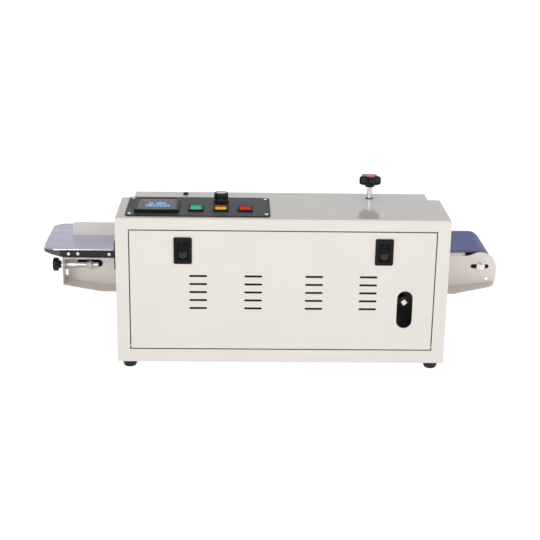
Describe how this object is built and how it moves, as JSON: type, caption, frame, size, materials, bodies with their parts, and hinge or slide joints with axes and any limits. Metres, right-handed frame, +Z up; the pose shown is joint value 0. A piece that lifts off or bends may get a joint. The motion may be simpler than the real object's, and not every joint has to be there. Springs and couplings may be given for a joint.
{
  "type": "continuous band sealer",
  "caption": "Benchtop continuous band sealer: hinged service door, top control panel, hooded sealing head with gear-driven belts, side belt conveyor with infeed tray and fence.",
  "frame": {"origin": "middle of the footprint, on the floor under the rubber feet", "axes": "+X the way the bags travel, along the conveyor; +Y from the service door towards the conveyor; +Z up"},
  "size_m": [0.849, 0.38, 0.3178],
  "materials": {
    "cream_paint": "glossy powder coat",
    "plate_steel": "grey zinc plate",
    "polished_steel": "polished sheet",
    "bright_metal": "bright plated",
    "turned_steel": "turned",
    "aluminium": "machined",
    "black_rubber": "matt rubber",
    "wheel_rubber": "silicone rubber",
    "black_plastic": "moulded",
    "panel_black": "printed film on metal",
    "display": "display window",
    "lens_green": "lit lens",
    "lens_yellow": "lit lens",
    "lens_red": "lit lens",
    "orange_plastic": "moulded",
    "blue_belt": "coated woven belt",
    "brown_belt": "coated glass cloth",
    "green_board": "circuit board",
    "copper": "plated tab",
    "spring_steel": "spring wire"
  },
  "bodies": {
    "frame": {"case_shell": "cream_paint", "base_pan": "plate_steel", "feet": "black_rubber", "screws": "bright_metal", "head_plate": "plate_steel", "head_fittings": "turned_steel", "power_inlet": "black_plastic", "electrical_tabs": "copper", "panel_plate": "panel_black", "controller_body": "black_plastic", "controller_face": "display", "switch_housings": "black_plastic", "potentiometer": "aluminium", "gear_motor": "aluminium", "drive_chains": "turned_steel", "seal_belts": "brown_belt", "seal_blocks": "aluminium", "fan_frame": "black_plastic", "control_board": "green_board", "side_plates": "cream_paint", "bed_plate": "cream_paint", "cross_bars": "bright_metal", "conveyor_belt": "blue_belt", "infeed_tray": "polished_steel", "tray_strip": "panel_black", "bag_fence": "cream_paint"},
    "rocker_green": {"rocker_green": "lens_green"},
    "rocker_yellow": {"rocker_yellow": "lens_yellow"},
    "rocker_red": {"rocker_red": "lens_red"},
    "speed_knob": {"speed_knob": "black_plastic", "speed_knob_metal": "bright_metal"},
    "door": {"door_panel": "cream_paint", "latch_bodies": "black_plastic"},
    "latch_left": {"latch_slider_left": "black_plastic"},
    "latch_right": {"latch_slider_right": "black_plastic"},
    "lower_drive": {"lower_drive_shaft": "turned_steel", "lower_gear": "turned_steel", "lower_drive_wheel": "wheel_rubber"},
    "upper_drive": {"upper_drive_shaft": "turned_steel", "upper_drive_wheel": "wheel_rubber"},
    "lower_driven": {"lower_driven_wheel": "wheel_rubber"},
    "upper_driven": {"upper_driven_wheel": "wheel_rubber"},
    "motor_output": {"motor_sprocket": "turned_steel"},
    "lower_pinch": {"lower_pinch_wheel": "turned_steel"},
    "press_arm": {"press_arm": "turned_steel", "pressure_spring": "spring_steel"},
    "upper_pinch": {"upper_pinch_wheel": "turned_steel"},
    "press_cap": {"pressure_cap": "turned_steel"},
    "press_knob": {"pressure_screw": "bright_metal", "pressure_knob": "black_plastic", "pressure_knob_cap": "orange_plastic"},
    "fan": {"fan_rotor": "black_plastic"},
    "conveyor_drive": {"conveyor_shaft": "turned_steel"},
    "head_roller": {"head_roller": "aluminium"},
    "tail_carriage": {"tail_carriage": "bright_metal"},
    "tail_roller": {"tail_roller": "aluminium"},
    "snub_left": {"snub_roller_left": "aluminium"},
    "snub_right": {"snub_roller_right": "aluminium"},
    "tension": {"tension_screw": "bright_metal", "tension_knob": "black_plastic"}
  },
  "joints": [
    {"name": "door_hinge", "type": "hinge", "parent": "frame", "child": "door", "pos_m": [0.0125, -0.184, 0.043], "axis": [1, 0, 0], "range_deg": [0, 90]},
    {"name": "latch_left_slide", "type": "slide", "parent": "door", "child": "latch_left", "axis": [0, 0, 1], "range_m": [0, 0.006]},
    {"name": "latch_right_slide", "type": "slide", "parent": "door", "child": "latch_right", "axis": [0, 0, 1], "range_m": [0, 0.006]},
    {"name": "green_rocker_tilt", "type": "hinge", "parent": "frame", "child": "rocker_green", "pos_m": [-0.1367, -0.133, 0.2715], "axis": [1, 0, 0], "range_deg": [-14, 0]},
    {"name": "yellow_rocker_tilt", "type": "hinge", "parent": "frame", "child": "rocker_yellow", "pos_m": [-0.0943, -0.133, 0.2715], "axis": [1, 0, 0], "range_deg": [-14, 0]},
    {"name": "red_rocker_tilt", "type": "hinge", "parent": "frame", "child": "rocker_red", "pos_m": [-0.0523, -0.133, 0.2715], "axis": [1, 0, 0], "range_deg": [-14, 0]},
    {"name": "speed_knob_turn", "type": "hinge", "parent": "frame", "child": "speed_knob", "pos_m": [-0.0942, -0.088, 0.28], "axis": [0, 0, -1], "range_deg": [-135, 135]},
    {"name": "pressure_feed", "type": "slide", "parent": "frame", "child": "press_cap", "axis": [0, 0, -1], "range_m": [0, 0.004], "deforming": ["pressure_spring"]},
    {"name": "pressure_knob_turn", "type": "hinge", "parent": "press_cap", "child": "press_knob", "pos_m": [0.1698, -0.0494, 0.3], "axis": [0, 0, -1], "range_deg": [0, 1152.1]},
    {"name": "press_arm_lift", "type": "hinge", "parent": "frame", "child": "press_arm", "pos_m": [0.1225, -0.0495, 0.213], "axis": [0, -1, 0], "range_deg": [0, 4]},
    {"name": "lower_drive_turn", "type": "hinge", "parent": "frame", "child": "lower_drive", "pos_m": [0.2245, -0.048, 0.162], "axis": [0, 1, 0], "continuous": true},
    {"name": "upper_drive_turn", "type": "hinge", "parent": "frame", "child": "upper_drive", "pos_m": [0.2245, -0.048, 0.218], "axis": [0, 1, 0], "continuous": true},
    {"name": "lower_driven_turn", "type": "hinge", "parent": "frame", "child": "lower_driven", "pos_m": [-0.1995, -0.048, 0.162], "axis": [0, 1, 0], "continuous": true},
    {"name": "upper_driven_turn", "type": "hinge", "parent": "frame", "child": "upper_driven", "pos_m": [-0.1995, -0.048, 0.218], "axis": [0, 1, 0], "continuous": true},
    {"name": "lower_pinch_turn", "type": "hinge", "parent": "frame", "child": "lower_pinch", "pos_m": [0.1698, -0.038, 0.167], "axis": [0, 1, 0], "continuous": true},
    {"name": "upper_pinch_turn", "type": "hinge", "parent": "press_arm", "child": "upper_pinch", "pos_m": [0.1698, -0.038, 0.213], "axis": [0, 1, 0], "continuous": true},
    {"name": "motor_turn", "type": "hinge", "parent": "frame", "child": "motor_output", "pos_m": [0.1125, -0.098, 0.075], "axis": [0, 1, 0], "continuous": true},
    {"name": "conveyor_drive_turn", "type": "hinge", "parent": "frame", "child": "conveyor_drive", "pos_m": [0.2245, 0.012, 0.1215], "axis": [0, 1, 0], "continuous": true},
    {"name": "head_roller_turn", "type": "hinge", "parent": "frame", "child": "head_roller", "pos_m": [0.3945, 0.107, 0.123], "axis": [0, 1, 0], "continuous": true},
    {"name": "tail_roller_turn", "type": "hinge", "parent": "tail_carriage", "child": "tail_roller", "pos_m": [-0.3405, 0.107, 0.123], "axis": [0, 1, 0], "continuous": true},
    {"name": "snub_left_turn", "type": "hinge", "parent": "frame", "child": "snub_left", "pos_m": [0.1945, 0.107, 0.098], "axis": [0, 1, 0], "continuous": true},
    {"name": "snub_right_turn", "type": "hinge", "parent": "frame", "child": "snub_right", "pos_m": [0.2545, 0.107, 0.098], "axis": [0, 1, 0], "continuous": true},
    {"name": "tail_slide", "type": "slide", "parent": "frame", "child": "tail_carriage", "axis": [-1, 0, 0], "range_m": [-0.003, 0.006], "deforming": ["conveyor_belt"]},
    {"name": "tension_knob_turn", "type": "hinge", "parent": "frame", "child": "tension", "pos_m": [-0.3975, 0.018, 0.123], "axis": [1, 0, 0], "range_deg": [-864.1, 1728.1]},
    {"name": "fan_turn", "type": "hinge", "parent": "frame", "child": "fan", "pos_m": [0.0125, -0.16, 0.142], "axis": [0, 1, 0], "continuous": true}
  ],
  "couplings": [
    {"joint": "upper_drive_turn", "follows": "lower_drive_turn", "ratio": -1},
    {"joint": "lower_driven_turn", "follows": "lower_drive_turn", "ratio": 1},
    {"joint": "upper_driven_turn", "follows": "lower_drive_turn", "ratio": -1},
    {"joint": "lower_pinch_turn", "follows": "lower_drive_turn", "ratio": 1.226},
    {"joint": "upper_pinch_turn", "follows": "lower_drive_turn", "ratio": -1.226},
    {"joint": "motor_turn", "follows": "lower_drive_turn", "ratio": 1.6154},
    {"joint": "conveyor_drive_turn", "follows": "lower_drive_turn", "ratio": 1.3077},
    {"joint": "head_roller_turn", "follows": "lower_drive_turn", "ratio": 1.1155},
    {"joint": "tail_roller_turn", "follows": "lower_drive_turn", "ratio": 1.1155},
    {"joint": "snub_left_turn", "follows": "lower_drive_turn", "ratio": -3.0709},
    {"joint": "snub_right_turn", "follows": "lower_drive_turn", "ratio": -3.0709},
    {"joint": "pressure_knob_turn", "follows": "pressure_feed", "rad_per_m": 5026.5},
    {"joint": "tension_knob_turn", "follows": "tail_slide", "rad_per_m": 5026.5}
  ]
}
